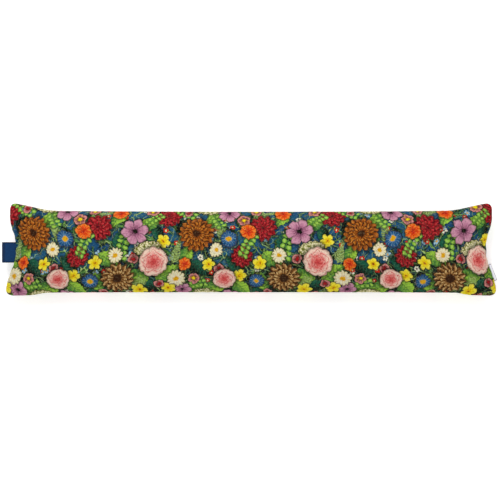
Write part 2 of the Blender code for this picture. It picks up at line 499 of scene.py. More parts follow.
# %% [markdown]
# ## Two maps of the cloth
# The first map, print, is the place on the flat cloth in metres. The back panel is cut from
# another stretch of the cloth, so its map is shifted. The second map packs both panels, each
# in two halves, into one square, which a picture of the finished cloth would need. The
# distance from the seam goes along as a value on each point, for the dark line at the seam.

# %% Map for the print
BACK_SHIFT_X = 118 * MM
BACK_SHIFT_Y = 61 * MM

corner_places = np.stack([flat_x, flat_y], axis=-1).reshape(-1, 2)
number_to_place = np.zeros((back_numbers.max() + 1, 2))
number_to_place[front_numbers.ravel()] = corner_places
number_to_place[back_numbers.ravel()] = corner_places
front_corners = number_to_place[front_faces]
back_corners = number_to_place[back_faces]
back_print = back_corners * (-1, 1) + (BACK_SHIFT_X, BACK_SHIFT_Y)
add_uv(cover.data, "print", np.concatenate([front_corners, back_print]))
print("print map over", round(float(np.ptp(front_corners[..., 0])), 3), "m of cloth")

# %% Map for a picture, and the distance from the seam
PICTURE_MARGIN = 0.004


def packed_rows(corners, first_row):
    """Each panel's left half in one quarter of the square's height and its right in the next."""
    right = corners[:, :, 0].mean(axis=1) > 0
    u = corners[..., 0] / PANEL_HALF_LENGTH + np.where(right, 0, 1)[:, None]
    v = (corners[..., 1] / PANEL_HALF_WIDTH + 1) / 2
    row = (first_row + right)[:, None]
    u = PICTURE_MARGIN + u * (1 - 2 * PICTURE_MARGIN)
    v = (row + PICTURE_MARGIN * 4 + v * (1 - 8 * PICTURE_MARGIN)) / 4
    return np.stack([u, v], axis=-1)


add_uv(
    cover.data, "OFBake", np.concatenate([packed_rows(front_corners, 0), packed_rows(back_corners, 2)])
)
cover.data.uv_layers.active = cover.data.uv_layers["print"]

seam_gap = np.minimum(from_long_seam, from_end_seam) * (~rim) / MM
seam_layer = cover.data.attributes.new("from_seam", "FLOAT", "POINT")
seam_layer.data.foreach_set("value", sewn(seam_gap, seam_gap).ravel())
print("maps", [layer.name for layer in cover.data.uv_layers])

# %% [markdown]
# ## Rounding the cloth
# One level of subdivision rounds the grid's facets. It would round the sewn rim as well, so
# the rim's edges get a crease, which keeps the seam a sharp line between its two rolls.

# %% Fine surface of the cover
RIM_CREASE = 0.7

mesh_tool = bmesh.new()
mesh_tool.from_mesh(cover.data)
crease_layer = mesh_tool.edges.layers.float.new("crease_edge")
mesh_tool.verts.ensure_lookup_table()
rim_numbers = set(front_numbers[rim].tolist())
for edge in mesh_tool.edges:
    if edge.verts[0].index in rim_numbers and edge.verts[1].index in rim_numbers:
        edge[crease_layer] = RIM_CREASE
mesh_tool.to_mesh(cover.data)
mesh_tool.free()
finer = cover.modifiers.new("Finer cloth", "SUBSURF")
finer.levels = finer.render_levels = 1
print("cover", 8 * len(cover_faces), "triangles once subdivided")

# %% [markdown]
# ## Strips caught in the seams
# The tab and the label are both strips folded in two. A plane with a Solidify modifier would
# do, but its edges would be square. Here a strip is a middle surface, whose two parameters run
# along the fold and across the strip, with a thickness laid on both sides of it. Round its
# narrow section the points form a closed ring, so the strip is a tube with two closed ends,
# which lie inside the seam.

# %% The path of a folded strip
TUCK = 1.6 * MM
SEAM_SAMPLES = 400


def seam_at(side, y):
    """X of the end seam at these Y, read from the cushion's own outline."""
    seam_place = np.linspace(-1, 1, SEAM_SAMPLES)
    seam_x, seam_y = outline(np.full(SEAM_SAMPLES, float(side)), seam_place)
    order = np.argsort(seam_y)
    return np.interp(y, seam_y[order], seam_x[order])


def folded_path(reach, fold_radius, root_half_gap, steps):
    """Distance out and height along a folded strip, and the way its upper side faces.

    The layers start a small gap apart, spread on a smooth step to the fold's radius, and
    turn round a half circle.
    """
    straight = reach - fold_radius
    out = np.linspace(-TUCK, straight, steps)
    height = root_half_gap + (fold_radius - root_half_gap) * smooth(out / straight)
    angle = np.linspace(np.pi / 2, -np.pi / 2, steps)[1:-1]
    path = np.concatenate(
        [
            np.stack([out, height], axis=-1),
            np.stack([straight + fold_radius * np.cos(angle), fold_radius * np.sin(angle)], axis=-1),
            np.stack([out, -height], axis=-1)[::-1],
        ]
    )
    slope = np.gradient(path, axis=0)
    slope /= np.linalg.norm(slope, axis=1, keepdims=True)
    facing = np.stack([-slope[:, 1], slope[:, 0]], axis=-1)
    return path, facing


print("seams at", [round(float(seam_at(side, 0.0)) / MM, 1) for side in (-1, 1)], "mm")


# %% The ring round a strip, and the tube through its rings
EDGE_SQUARENESS = 14
EDGE_ROLL_PLACE = 0.95
EDGE_ROLL_WIDTH = 0.03


def ring_profile(points_across, edge_roll):
    """Across from -1 to 1 and back, with half the thickness: full, thicker at the edges.

    The thickness is the root of one less across to a high even power, and a bell curve
    beside each edge is the roll.
    """
    place = np.sin(np.linspace(-np.pi / 2, np.pi / 2, points_across))
    half = np.sqrt(np.maximum(1 - np.abs(place) ** EDGE_SQUARENESS, 0))
    roll = np.exp(-(((np.abs(place) - EDGE_ROLL_PLACE) / EDGE_ROLL_WIDTH) ** 2))
    half = half * (1 + edge_roll * roll)
    return np.concatenate([place, place[-2:0:-1]]), np.concatenate([half, -half[-2:0:-1]])


def closed_tube(name, rings, run, place_across):
    """A mesh from rings of points: sides between them, and the two end rings closed.

    Its map, cloth, holds the length run along the strip and the place across it, in metres.
    """
    stations, around = rings.shape[:2]
    numbers = np.arange(stations * around).reshape(stations, around)
    sides = grid_faces(np.concatenate([numbers, numbers[:, :1]], axis=1))
    faces = [*sides.tolist(), numbers[0].tolist(), numbers[-1][::-1].tolist()]
    made = mesh_object(name, rings.reshape(-1, 3), faces)
    mesh_tool = bmesh.new()
    mesh_tool.from_mesh(made.data)
    bmesh.ops.recalc_face_normals(mesh_tool, faces=mesh_tool.faces)
    mesh_tool.to_mesh(made.data)
    mesh_tool.free()
    places = np.stack(np.broadcast_arrays(run[:, None], place_across[None, :]), axis=-1)
    corners = np.empty(len(made.data.loops), np.int32)
    made.data.loops.foreach_get("vertex_index", corners)
    add_uv(made.data, "cloth", places.reshape(-1, 2)[corners])
    return made


def run_along(path):
    """The length run along a path up to each of its points."""
    return np.insert(np.cumsum(np.linalg.norm(np.diff(path, axis=0), axis=1)), 0, 0)


def strip_rings(root, outward, upward, paths, half_thickness):
    """Rings of a folded strip.

    root, outward and upward are given for each place across; paths holds the folded path of
    each place across, as distance out and height, and the way it faces.
    """
    path, facing = paths
    middle = root + path[..., :1] * outward + path[..., 1:] * upward
    normal = facing[..., :1] * outward + facing[..., 1:] * upward
    return middle + normal * half_thickness[None, :, None]


print("strips start", round(TUCK / MM, 1), "mm inside the seam")

# %% [markdown]
# ## The webbing tab
# The tab is stiff webbing, so its fold stays open as a small loop that a hook can go through.
# It is cut square and sewn into a seam that isn't straight, so each place across it has a
# reach of its own. Its edges are the selvedges, a little thicker than the rest.

# %% The webbing tab
TAB_THICKNESS = 1.3 * MM
TAB_FOLD_RADIUS = 4.2 * MM
LAYER_GAP = 0.4 * MM
TAB_ROOT_HALF_GAP = (TAB_THICKNESS + LAYER_GAP) / 2
TAB_STEPS = 22
TAB_POINTS_ACROSS = 48
TAB_EDGE_ROLL = 0.16

tab_place, tab_half = ring_profile(TAB_POINTS_ACROSS, TAB_EDGE_ROLL)
tab_half = tab_half * TAB_THICKNESS / 2
tab_middle_y = (tab_low.y + tab_high.y) / 2
tab_half_width = (tab_high.y - tab_low.y) / 2
tab_y = tab_middle_y + tab_place * tab_half_width
tab_root_x = seam_at(-1, tab_y)
tab_reach = tab_root_x - tab_low.x - TAB_THICKNESS / 2
tab_paths = [
    folded_path(reach, TAB_FOLD_RADIUS, TAB_ROOT_HALF_GAP, TAB_STEPS) for reach in tab_reach
]
tab_path = np.stack([path for path, _ in tab_paths], axis=1)
tab_facing = np.stack([facing for _, facing in tab_paths], axis=1)
tab_root = np.stack([tab_root_x, tab_y, np.full_like(tab_y, SEAM_HEIGHT)], axis=-1)
tab = closed_tube(
    "webbing_tab",
    strip_rings(
        tab_root, np.array([-1.0, 0, 0]), np.array([0, 0, 1.0]), (tab_path, tab_facing), tab_half
    ),
    run_along(tab_path[:, TAB_POINTS_ACROSS // 2]),
    tab_place * tab_half_width,
)
tab_length = run_along(tab_path[:, 0])[-1]
print("tab", round(tab_length / MM, 1), "mm of webbing,", round(2 * tab_half_width / MM, 1), "mm wide")

# %% [markdown]
# ## The tape label
# The label is thin and soft. It leaves the sloping part of the right end seam, follows that
# slope, and droops over the cushion's underside, a little more at its upper end.

# %% Where the label starts
LABEL_THICKNESS = 0.5 * MM
LABEL_POINTS_ACROSS = 40
LABEL_LOWER_MARGIN = 0.24 * MM
LABEL_UPPER_MARGIN = 1.92 * MM

label_place, label_half = ring_profile(LABEL_POINTS_ACROSS, 0.0)
label_half = label_half * LABEL_THICKNESS / 2
label_lower_y = label_low.y + LABEL_LOWER_MARGIN
label_upper_y = label_high.y - LABEL_UPPER_MARGIN
label_share = (1 - label_place) / 2
label_y = label_upper_y + label_share * (label_lower_y - label_upper_y)
label_root = np.stack([seam_at(1, label_y), label_y, np.full_like(label_y, SEAM_HEIGHT)], axis=-1)
seam_way = label_root[label_share.argmax()] - label_root[label_share.argmin()]
label_width = float(np.linalg.norm(seam_way))
seam_way = seam_way / label_width
level_out = np.array([-seam_way[1], seam_way[0], 0.0])
print("label", round(label_width / MM, 1), "mm wide along the seam")

# %% The drooping label
LABEL_STAND_OUT = 9.8 * MM
LABEL_FOLD_RADIUS = 0.7 * MM
LABEL_UPPER_DROOP = math.radians(63)
LABEL_LOWER_DROOP = math.radians(56)
LABEL_CLEARANCE = 0.9 * MM
LABEL_STEPS = 14
LABEL_WAVE = 0.35 * MM
LABEL_WAVE_TURN = 4.0
LABEL_ROOT_HALF_GAP = LABEL_FOLD_RADIUS * 0.75

droop = LABEL_UPPER_DROOP + label_share * (LABEL_LOWER_DROOP - LABEL_UPPER_DROOP)
up = np.array([0, 0, 1.0])
label_outward = level_out * np.cos(droop)[:, None] - up * np.sin(droop)[:, None]
label_upward = level_out * np.sin(droop)[:, None] + up * np.cos(droop)[:, None]
label_path, label_facing = folded_path(
    LABEL_STAND_OUT, LABEL_FOLD_RADIUS, LABEL_ROOT_HALF_GAP, LABEL_STEPS
)
label_root = label_root + level_out * LABEL_CLEARANCE
label_root[:, 2] += LABEL_WAVE * np.sin(label_place * LABEL_WAVE_TURN)
label = closed_tube(
    "tape_label",
    strip_rings(
        label_root,
        label_outward,
        label_upward,
        (label_path[:, None, :], label_facing[:, None, :]),
        label_half,
    ),
    run_along(label_path),
    label_place * label_width / 2,
)
label_length = run_along(label_path)[-1]
print("label", round(label_length / MM, 1), "mm of tape")

# %% [markdown]
# ## Arithmetic on shader values
# A finish is a tree of nodes, and most of those nodes only add, multiply or compare. The
# small class below wraps one output of the tree, so that ordinary signs do that work. Any
# other node comes from one method, which takes its settings first and its sockets second.

# %% A shader value with arithmetic
class Wire:
    """One output of a material's nodes. Arithmetic on it adds Math nodes."""

    def __init__(self, tree, socket):
        self.tree = tree
        self.socket = socket

    def node(self, kind, settings, inputs, output=0):
        """A node of any kind, as the wire from one of its outputs."""
        made = self.tree.nodes.new(kind)
        for name, value in settings.items():
            setattr(made, name, value)
        for name, value in inputs.items():
            if isinstance(value, Wire):
                self.tree.links.new(value.socket, made.inputs[name])
            else:
                made.inputs[name].default_value = value
        return Wire(self.tree, made.outputs[output])

    def math(self, operation, *others):
        """A Math node on this wire and up to two more values."""
        return self.node(
            "ShaderNodeMath", {"operation": operation}, dict(enumerate((self, *others)))
        )

    def vector(self, operation, *others, output=0):
        """A Vector Math node on this wire and up to two more vectors."""
        return self.node(
            "ShaderNodeVectorMath", {"operation": operation}, dict(enumerate((self, *others))), output
        )

    def __add__(self, other):
        return self.math("ADD", other)

    def __sub__(self, other):
        return self.math("SUBTRACT", other)

    def __mul__(self, other):
        return self.math("MULTIPLY", other)

    def __truediv__(self, other):
        return self.math("DIVIDE", other)

    def __pow__(self, other):
        return self.math("POWER", other)

    def __abs__(self):
        return self.math("ABSOLUTE")

    def __rsub__(self, other):
        return self.node("ShaderNodeMath", {"operation": "SUBTRACT"}, {0: other, 1: self})

    __radd__ = __add__
    __rmul__ = __mul__

    def step(self, low, high):
        """0 at low and 1 at high, with a smooth change; low may be the greater."""
        return self.node(
            "ShaderNodeMapRange",
            {"interpolation_type": "SMOOTHSTEP"},
            {"Value": self, "From Min": low, "From Max": high},
        )

    def dot(self, other):
        """The sum of the products of two vectors' parts, as a number."""
        return self.vector("DOT_PRODUCT", other, output=1)

    def parts(self):
        """The X and the Y of a vector."""
        return self.dot((1, 0, 0)), self.dot((0, 1, 0))

    def mix(self, low, high):
        """A colour between two, with this wire as the share of the second.

        A Mix node's sockets 6 and 7 are its two colours, and its output 2 is a colour.
        """
        return self.node("ShaderNodeMix", {"data_type": "RGBA"}, {0: self, 6: low, 7: high}, 2)

    def choose(self, low, high):
        """A vector from two: the same node's sockets 4 and 5, and its output 1."""
        return self.node("ShaderNodeMix", {"data_type": "VECTOR"}, {0: self, 4: low, 5: high}, 1)

    def bump(self, strength, depth):
        """The surface's normal with this wire as a height, up to a depth in metres."""
        return self.node(
            "ShaderNodeBump", {}, {"Height": self, "Strength": strength, "Distance": depth}
        )

    def ramp(self, *stops):
        """A colour from a ramp of places and colours."""
        made = self.node("ShaderNodeValToRGB", {}, {0: self})
        band = made.socket.node.color_ramp
        while len(band.elements) < len(stops):
            band.elements.new(0.5)
        for element, (place, colour) in zip(band.elements, stops):
            element.position = place
            element.color = colour
        return made


def paint(red, green, blue, depth=1.0):
    """A colour given as a picture editor gives it, from 0 to 255, as a shader takes it.

    A picture holds about the root of each light. A power of 2.4, with a short straight
    start, gives the light back, and the depth then dims it.
    """
    share = np.array([red, green, blue]) / 255
    low = share / 12.92
    high = ((share + 0.055) / 1.055) ** 2.4
    return (*(np.where(share > 0.04045, high, low) * depth).tolist(), 1.0)


def new_finish(name):
    """A material with its main shader, and its tree."""
    material = bpy.data.materials.new(name)
    material.use_nodes = True
    return material, material.node_tree, material.node_tree.nodes["Principled BSDF"]


def wear(piece, material, shader, colour, bump, roughness, specular):
    """The colour and the bump go to the main shader, and the material to its piece."""
    material.node_tree.links.new(colour.socket, shader.inputs["Base Color"])
    material.node_tree.links.new(bump.socket, shader.inputs["Normal"])
    shader.inputs["Roughness"].default_value = roughness
    shader.inputs["Specular IOR Level"].default_value = specular
    piece.data.materials.append(material)


def cloth_millimetres(tree, map_name):
    """The place on one of the piece's maps, in millimetres."""
    cloth_map = tree.nodes.new("ShaderNodeUVMap")
    cloth_map.uv_map = map_name
    return Wire(tree, cloth_map.outputs[0]).vector("MULTIPLY", (1000, 1000, 0))


print("mid grey is", [round(part, 3) for part in paint(128, 128, 128)[:3]])

# %% [markdown]
# ## The print
# The cloth is printed all over with flowers, in the manner of old botanical plates: bright
# blooms over dark foliage on a blue ground. This design is a generic one in those colours
# and at that scale. It is built as a printer would build it, from the back: ground, foliage,
# tendrils, small flowers, broad leaves, and the large blooms last, each with a soft shadow.
# All measures are millimetres on the flat cloth, and the charted blooms come back every
# 305 mm along and every 178 mm across.

# %% Colours of the print
INK_DEPTH = 0.91


def ink(red, green, blue):
    """A printed colour: the weave swallows some of the light of the ink."""
    return paint(red, green, blue, INK_DEPTH)


BLUE = ink(24, 76, 120)
PALE_BLUE = ink(38, 98, 126)
NIGHT = ink(3, 8, 7)
FOREST = ink(4, 18, 12)
DEEP_GREEN = ink(10, 44, 34)
LEAF_GREEN = ink(76, 136, 62)
SEA_GREEN = ink(30, 98, 74)
TEAL = ink(26, 92, 100)
PALE_GREEN = ink(176, 208, 122)
LIME = ink(166, 214, 70)
OLIVE = ink(112, 120, 40)
CREAM = ink(242, 230, 176)
WHITE = ink(246, 244, 216)
YELLOW = ink(252, 230, 16)
PALE_YELLOW = ink(252, 240, 84)
GOLD = ink(234, 172, 20)
HONEY = ink(214, 136, 46)
ORANGE = ink(246, 104, 20)
APRICOT = ink(252, 164, 66)
SCARLET = ink(222, 42, 22)
RED = ink(166, 20, 32)
ROSE = ink(212, 58, 66)
WINE = ink(84, 6, 20)
RUST = ink(164, 82, 18)
UMBER = ink(156, 104, 50)
TAN = ink(236, 198, 132)
BROWN = ink(58, 28, 12)
BLUSH = ink(254, 220, 198)
PINK = ink(244, 158, 150)
CORAL = ink(234, 110, 104)
CRIMSON = ink(208, 60, 64)
LILAC = ink(188, 118, 148)
PALE_LILAC = ink(220, 160, 182)
PLUM = ink(72, 22, 56)
SKY = ink(160, 200, 218)
CORNFLOWER = ink(22, 86, 140)

REPEAT_LONG = 305.0
REPEAT_WIDE = 178.0
print("blue ground", [round(part, 3) for part in BLUE[:3]])

# %% [markdown]
# ## Ground and brushwork
# A hand-drawn plate has no perfect outline and no flat colour. Two noises do that work here:
# one moves every place by a few millimetres before anything is drawn on it, and the other,
# brush, is added to every colour. The ground is blue above and turns to dark green below,
# along a border that a third, broad noise pushes up and down.

# %% Ground cloth and its brushwork
WOBBLE_LENGTH = 9.0
WOBBLE = 6.0
BRUSH_LENGTH = 3.0
CLOUD_LENGTH = 38.0
CLOUD_RISE = 90.0
GREEN_FROM = 50.0
GREEN_SHARE = 0.95

cover_material, cover_tree, cover_shader = new_finish("flowered_cotton")
drawn_place = cloth_millimetres(cover_tree, "print")


def noise(coordinate, length, detail=2.0, output="Fac"):
    """Noise from 0 to 1 whose blots are about one length across, in millimetres."""
    return coordinate.node(
        "ShaderNodeTexNoise",
        {"noise_dimensions": "2D"},
        {"Vector": coordinate, "Scale": 1 / length, "Detail": detail},
        output,
    )


def wobbled(coordinate, length, amount):
    """The place moved by noise, so that no outline drawn on it is quite regular."""
    wander = noise(coordinate, length, output="Color").vector("SUBTRACT", (0.5, 0.5, 0.5))
    return coordinate.vector("ADD", wander.vector("MULTIPLY", (amount, amount, 0)))


place = wobbled(drawn_place, WOBBLE_LENGTH, WOBBLE)
brush = noise(place, BRUSH_LENGTH)
cloud = noise(place, CLOUD_LENGTH, detail=1.0)
across_cloth = place.dot((0, 1, 0))
low_half = (across_cloth + cloud * CLOUD_RISE).step(GREEN_FROM, 0.0)
ground = (cloud + brush * 0.4).step(0.45, 1.0).mix(BLUE, PALE_BLUE)
ground = (low_half * GREEN_SHARE).mix(ground, FOREST)
print("ground", len(cover_tree.nodes), "nodes")

# %% [markdown]
# ## Scattered foliage
# Behind the blooms lie hundreds of small leaves. Placing each would be endless work, so a
# Voronoi texture scatters them: it tells every place which scattered point is the nearest, and
# one leaf is drawn in that point's own turned axes. Several layers, of different pitches and
# colours, hide the trick.


# %% Scattered points
def turned(x, y, angle):
    """X and Y of a place in axes that are turned by an angle."""
    cosine, sine = angle.math("COSINE"), angle.math("SINE")
    return x * cosine + y * sine, y * cosine - x * sine


def scattered(coordinate, pitch, seed_shift):
    """The place seen from the nearest of many scattered points, turned at random.

    A Voronoi texture gives each point's place and a random colour, whose first part is used
    as the turn. The result is in pitches, with the random colour beside it.
    """
    moved = coordinate.vector("ADD", (seed_shift, seed_shift * 0.7, 0))
    nearest_point = moved.node(
        "ShaderNodeTexVoronoi",
        {"voronoi_dimensions": "2D"},
        {"Vector": moved, "Scale": 1 / pitch},
        "Position",
    )
    chance = Wire(coordinate.tree, nearest_point.socket.node.outputs["Color"])
    random_turn, random_tint = chance.vector("MULTIPLY", (2 * math.pi, 1, 0)).parts()
    x, y = moved.vector("SUBTRACT", nearest_point).vector("MULTIPLY", (1 / pitch, 1 / pitch, 0)).parts()
    return *turned(x, y, random_turn), random_tint


print("before any leaf", len(cover_tree.nodes), "nodes")

# %% Scattered leaves
LEAF_HALF_LENGTH = 0.66
LEAF_BEND = 0.12
LEAF_LIFT = 0.04


def shaded_layer(under, shadow, inside, colour):
    """A layer's shadow on what is under it, and then the layer itself."""
    return inside.mix(shadow.mix(under, NIGHT), colour)


def scatter_leaves(under, pitch, seed_shift, half_width, dark, light, thinned):
    """Pointed leaves with a pale midrib: the half width is one less the way along squared.

    Each is bent a little, by lowering it with the square of the way along. A share of them
    is left out of the upper half, where more of the blue ground shows.
    """
    x, y, tint = scattered(place, pitch, seed_shift)
    share = x * (1 / LEAF_HALF_LENGTH)
    rise = y + share * share * LEAF_BEND - LEAF_LIFT
    inside = (1 - share * share) * half_width - abs(rise)
    colour = (tint * 0.8 + brush * 0.6 + rise * 2.4).step(0.3, 1.15).mix(dark, light)
    colour = (abs(rise).step(0.03, 0.0) * 0.6).mix(colour, PALE_GREEN)
    kept = (tint + low_half).math("GREATER_THAN", thinned)
    shadow = inside.step(-0.09, 0.0) * kept * 0.75
    return shaded_layer(under, shadow, inside.step(-0.02, 0.02) * kept, colour)


# Pitch, shift of the seed, half width, dark, light, and the share left out of the upper half
LEAF_LAYERS = [
    (30.0, 0.0, 0.17, NIGHT, DEEP_GREEN, 0.6),
    (24.0, 417.0, 0.11, DEEP_GREEN, TEAL, 0.5),
    (19.0, 233.0, 0.11, NIGHT, SEA_GREEN, 0.6),
    (27.0, 891.0, 0.12, NIGHT, LEAF_GREEN, 0.6),
    (22.0, 158.0, 0.045, TEAL, PALE_GREEN, 0.25),
]
nodes_before = len(cover_tree.nodes)
for layer in LEAF_LAYERS:
    ground = scatter_leaves(ground, *layer)
nodes_a_layer = (len(cover_tree.nodes) - nodes_before) // len(LEAF_LAYERS)
print(len(LEAF_LAYERS), "layers of leaves, each of", nodes_a_layer, "nodes")

# %% [markdown]
# ## Tendrils
# Tendrils are the contour lines of a noise field: wherever the noise passes through a chosen
# height, a thin line is drawn. Such lines never cross and never end, like a climbing stem.


# %% Tendrils
FIELD_SHIFT = 900


def tendrils(under, length, height, half_width, colour):
    """Thin lines where a noise field is near one height, each height in a field of its own."""
    field = noise(place.vector("ADD", (height * FIELD_SHIFT, 0, 0)), length, detail=0.6)
    line = abs(field - height).step(half_width, half_width * 0.4)
    return line.mix(under, colour)


# Length of the field's blots, height, half width of the line in heights, colour
TENDRIL_LAYERS = [
    (24.0, 0.46, 0.010, PALE_GREEN),
    (17.0, 0.54, 0.009, TEAL),
    (20.0, 0.58, 0.010, OLIVE),
]
for layer in TENDRIL_LAYERS:
    ground = tendrils(ground, *layer)
print("with tendrils", len(cover_tree.nodes), "nodes")

# %% [markdown]
# ## Small flowers
# Petals are drawn in polar terms: the distance from the middle is divided by the distance of
# the outline at the same angle. The result is 1 on the outline for any number of petals, and
# the petals' own shading can use it too.


# %% Small scattered flowers
def round_petals(size, angle, count, depth, power=0.5):
    """Distance from the middle over the outline's distance, for a number of round petals.

    The outline is one less a depth where two petals meet, and one in the middle of each.
    """
    lobe = abs((angle * (count / 2)).math("COSINE"))
    return size / ((lobe**power) * depth + (1 - depth)), lobe


def small_flowers(under, pitch, seed_shift, radius, petal, heart, keep):
    """Five-petalled flowers on a share of the scattered points."""
    x, y, tint = scattered(place, pitch, seed_shift)
    size = (x * x + y * y).math("SQRT") * (1 / radius)
    distance, lobe = round_petals(size, y.math("ARCTAN2", x), 5, 0.45)
    chosen = tint.step(1 - keep, 1 - keep + 0.01)
    colour = (lobe.step(0.0, 0.7) * 0.6 + 0.4).mix(NIGHT, petal)
    colour = size.step(0.34, 0.26).mix(colour, heart)
    shadow = distance.step(1.5, 1.0) * chosen * 0.5
    return shaded_layer(under, shadow, distance.step(1.05, 0.95) * chosen, colour)


# Pitch, shift of the seed, radius in pitches, petal, heart, and the share of points used
SMALL_FLOWER_LAYERS = [
    (24.0, 77.0, 0.22, WHITE, PLUM, 0.3),
    (27.0, 351.0, 0.20, SKY, GOLD, 0.4),
    (25.0, 613.0, 0.20, SCARLET, CREAM, 0.35),
]
for layer in SMALL_FLOWER_LAYERS:
    ground = small_flowers(ground, *layer)
print("with small flowers", len(cover_tree.nodes), "nodes")

# %% [markdown]
# ## Charted blooms
# The large blooms stand on a chart: the place of each middle, its radius and its turn. For
# each kind, the shader looks at every copy, keeps the nearest one, and then draws the kind
# once. Near the end of a repeat a copy must also show from the next repeat, so the place is
# first wrapped into the repeat that has the copy in its middle.


# %% Finding the nearest bloom
TURN_SHARE = 0.001
BLOOM_WOBBLE_LENGTH = 5.0
BLOOM_WOBBLE = 2.0

bloom_place = wobbled(place, BLOOM_WOBBLE_LENGTH, BLOOM_WOBBLE)


def nearest(chart):
    """The place seen from the nearest charted bloom, with its edge at 1, and its length.

    The bloom's turn rides along as a very small third part of the place, which leaves the
    length as good as unchanged.
    """
    best = best_size = None
    half_long, half_wide = REPEAT_LONG / 2, REPEAT_WIDE / 2
    for x, y, radius, degrees in chart:
        wrapped = bloom_place.vector(
            "WRAP", (x + half_long, y + half_wide, 1), (x - half_long, y - half_wide, -1)
        )
        local = wrapped.vector(
            "MULTIPLY_ADD",
            (1 / radius, 1 / radius, 0),
            (-x / radius, -y / radius, math.radians(degrees) * TURN_SHARE),
        )
        size = local.vector("LENGTH", output=1)
        if best is None:
            best, best_size = local, size
        else:
            closer = size.math("LESS_THAN", best_size)
            best = closer.choose(best, local)
            best_size = size.math("MINIMUM", best_size)
    return best, best_size


def nearest_axes(chart):
    """X and Y in the nearest bloom's own turned axes."""
    local, _ = nearest(chart)
    return turned(*local.parts(), local.dot((0, 0, 1 / TURN_SHARE)))


def nearest_polar(chart):
    """Distance from the nearest bloom's middle, and the angle round it."""
    local, size = nearest(chart)
    x, y = local.parts()
    return size, y.math("ARCTAN2", x) - local.dot((0, 0, 1 / TURN_SHARE))


def rays(angle, fineness):
    """Streaks out from the middle: noise that is read from the angle alone."""
    streaks = angle.node(
        "ShaderNodeTexNoise",
        {"noise_dimensions": "1D"},
        {"W": angle * fineness, "Scale": 1.0, "Detail": 1.0},
    )
    return streaks - 0.5


def with_heart(colour, size, heart, heart_size):
    """A round heart in the middle, with an edge that the brush roughens."""
    return (size + brush * 0.1).step(heart_size + 0.1, heart_size).mix(colour, heart)


def laid_over(under, distance, colour):
    """A bloom with a soft dark edge on what is under it; distance is 1 at its outline."""
    shadow = distance.step(1.36, 0.95) * 0.85
    edge = distance.step(0.86, 1.0) * 0.4
    return distance.step(1.03, 0.97).mix(shadow.mix(under, NIGHT), edge.mix(colour, WINE))


print("the charted print comes back every", REPEAT_LONG, "by", REPEAT_WIDE, "mm")

# %% [markdown]
# ## Broad leaves
# Vine-like leaves in two greens lie under the blooms. The midrib and the side veins are what
# make a green patch a leaf: the side veins are a sawtooth of the way along less a share of the
# way out, which slopes them towards the tip.


# %% Broad leaves
def broad_leaf(under, chart, dark, light):
    """Ovate leaves with a midrib, and side veins that slope towards the tip.

    The outline's half width is a half of one less the square of the way along, and greater
    towards the stalk; a fine ripple along the edge makes its teeth.
    """
    x, y = nearest_axes(chart)
    side = abs(y)
    half = (1 - x * x) * (0.56 - x * 0.24) + (x * 26).math("SINE") * 0.03
    vein = ((x - side * 0.7) * 3.2).math("FRACT")
    veins = abs(vein - 0.5).step(0.40, 0.5).math("MAXIMUM", side.step(0.05, 0.01))
    colour = (brush * 0.9 + y * 0.9 + vein * 0.4 - 0.1).step(0.05, 0.95).mix(dark, light)
    colour = (veins * 0.6).mix(colour, DEEP_GREEN)
    inside = half - side
    shadow = inside.step(-0.2, 0.02) * 0.75
    return shaded_layer(under, shadow, inside.step(-0.015, 0.02), colour)


# X and Y of the middle, radius, and turn in degrees, as in every chart of the print
LIME_LEAVES = [
    (152, -38, 27, 35), (94, -44, 25, 160), (234, -72, 26, 200), (288, -74, 24, 310),
    (234, 62, 22, 70), (40, -14, 23, 330), (120, 54, 23, 20), (184, -6, 20, 250),
    (22, -58, 22, 100), (58, 66, 22, 240), (200, -74, 22, 40),
]
GREEN_LEAVES = [
    (62, 20, 24, 80), (180, 44, 22, 250), (116, -66, 25, 10), (274, -22, 22, 140),
    (10, 70, 20, 220), (208, -30, 22, 320), (132, 36, 18, 110), (20, -78, 22, 30),
]
ground = broad_leaf(ground, GREEN_LEAVES, NIGHT, SEA_GREEN)
ground = broad_leaf(ground, LIME_LEAVES, LEAF_GREEN, LIME)
print("leaves", len(GREEN_LEAVES) + len(LIME_LEAVES))

# %% [markdown]
# ## Ferns and sprigs
# Finer foliage fills the gaps. A fern is a sawtooth again, this time with empty spaces between
# its teeth. A sprig is a row of circles on each side of a bent stem.


# %% Ferns and sprigs
def fern(under, chart, dark, light):
    """Fronds whose leaflets slope towards the tip and shorten along a straight taper."""
    x, y = nearest_axes(chart)
    side = abs(y)
    leaflet = ((x - side * 0.9) * 6.0).math("FRACT")
    half = (1 - x) * 0.2 * x.step(-1.0, -0.7)
    body = (half - side).step(-0.02, 0.02) * abs(leaflet - 0.5).step(0.46, 0.28)
    stalk = side.step(0.03, 0.008) * abs(x).step(1.0, 0.96)
    colour = (leaflet * 0.5 + brush * 0.8).step(0.2, 1.0).mix(dark, light)
    return body.math("MAXIMUM", stalk).mix(under, colour)


def sprig(under, chart, dark, light):
    """Pairs of round leaflets along a stem: circles repeated along it, on both its sides."""
    x, y = nearest_axes(chart)
    bent = y + x * x * 0.16
    along_stem = (x * 3.2).math("FRACT") - 0.5
    beside = (abs(bent) - 0.20) * 2.6
    distance = (along_stem * along_stem + beside * beside).math("SQRT") * 2.2
    inside = distance.step(1.05, 0.92) * abs(x).step(1.0, 0.94)
    stalk = abs(bent).step(0.04, 0.01) * abs(x).step(1.05, 1.0)
    colour = (distance * 0.75 + brush * 0.4).ramp((0.25, PALE_GREEN), (0.5, light), (0.95, dark))
    shadow = distance.step(1.5, 1.0) * abs(x).step(1.05, 0.98) * 0.6
    return shaded_layer(under, shadow, inside.math("MAXIMUM", stalk), colour)


